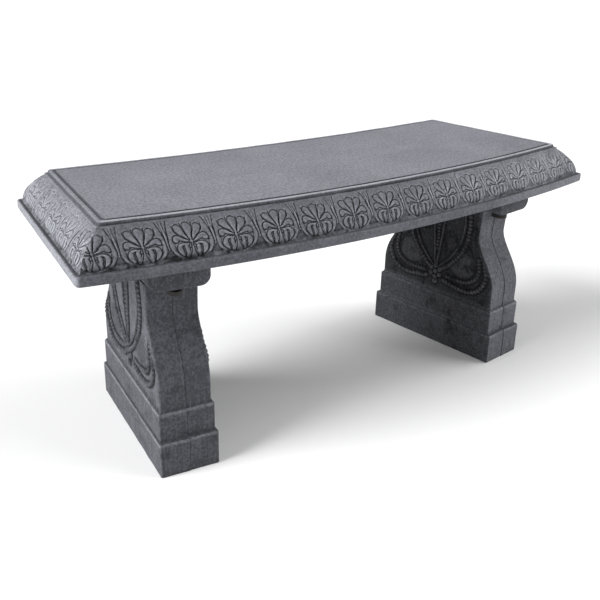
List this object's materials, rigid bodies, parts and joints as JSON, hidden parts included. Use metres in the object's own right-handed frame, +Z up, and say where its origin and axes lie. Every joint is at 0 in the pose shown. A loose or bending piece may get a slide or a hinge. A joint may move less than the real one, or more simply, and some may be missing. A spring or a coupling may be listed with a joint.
{
  "type": "garden bench",
  "caption": "Curved backless garden bench: a fan-shaped cast seat with a carved edge, resting on two radial cast legs; the seat lifts off its legs.",
  "frame": {"origin": "on the ground, at the middle of the bench's footprint box", "axes": "+X along the length, -Y towards the convex front, +Z up"},
  "size_m": [1.084, 0.457, 0.44],
  "materials": {
    "cast_composite": "cast fibre-cement with a charcoal wash, lighter where rubbed on the high spots",
    "raw_cast": "the same casting mix, unwashed and rough on the hidden side",
    "timber": "weathered hardwood, oiled",
    "bar_steel": "hot-rolled, lightly rusted",
    "screw_steel": "zinc plated"
  },
  "bodies": {
    "seat": {"seat_shell": "cast_composite", "seat_rib_front": "raw_cast", "seat_rib_back": "raw_cast", "seat_bar_front": "bar_steel", "seat_bar_back": "bar_steel", "left_bolster": "cast_composite", "right_bolster": "cast_composite"},
    "left_leg": {"left_leg_outer_half": "cast_composite", "left_leg_inner_half": "cast_composite", "left_head_block": "timber", "left_key_batten": "timber", "left_key_screws": "screw_steel"},
    "right_leg": {"right_leg_outer_half": "cast_composite", "right_leg_inner_half": "cast_composite", "right_head_block": "timber", "right_key_batten": "timber", "right_key_screws": "screw_steel"}
  },
  "joints": [
    {"name": "left_leg_lift_off", "type": "slide", "parent": "seat", "child": "left_leg", "axis": [0, 0, -1], "range_m": [0, 0.12]},
    {"name": "right_leg_lift_off", "type": "slide", "parent": "seat", "child": "right_leg", "axis": [0, 0, -1], "range_m": [0, 0.12]}
  ]
}
